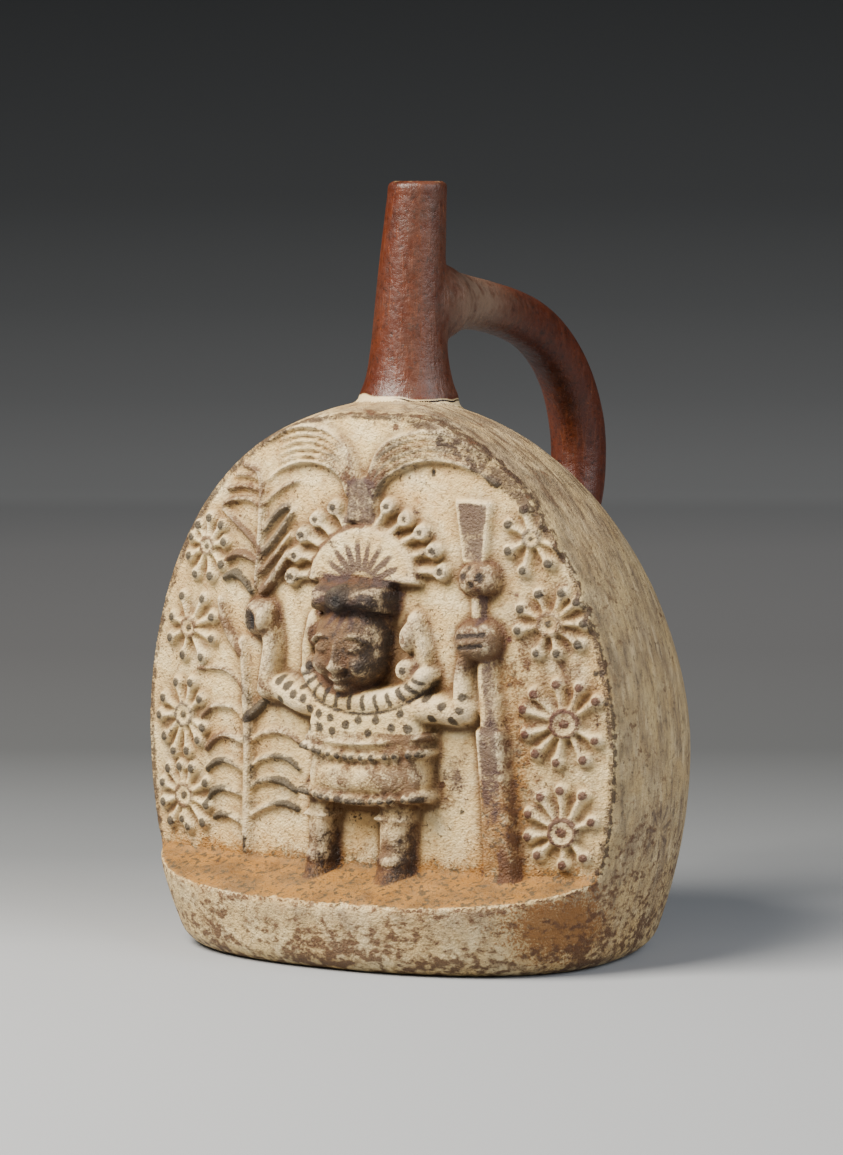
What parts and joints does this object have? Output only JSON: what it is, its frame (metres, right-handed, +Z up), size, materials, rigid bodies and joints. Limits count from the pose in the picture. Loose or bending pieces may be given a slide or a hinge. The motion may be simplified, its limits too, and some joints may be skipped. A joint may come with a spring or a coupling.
{
  "type": "handle spout vessel",
  "caption": "Hollow earthenware bottle with an arched relief panel over a ledge, a tapered spout on top and a loop handle from spout to back; holds and pours liquid.",
  "frame": {"origin": "on the underside, straight below the foot of the spout", "axes": "+Z up along the spout, -Y out of the relief panel, +X to the right as one faces the panel"},
  "size_m": [0.1978, 0.2051, 0.2768],
  "materials": {
    "earthenware": "matte cream slip, worn, with red-brown burnished spout and handle"
  },
  "bodies": {
    "root": {"vessel": "earthenware"}
  },
  "joints": []
}
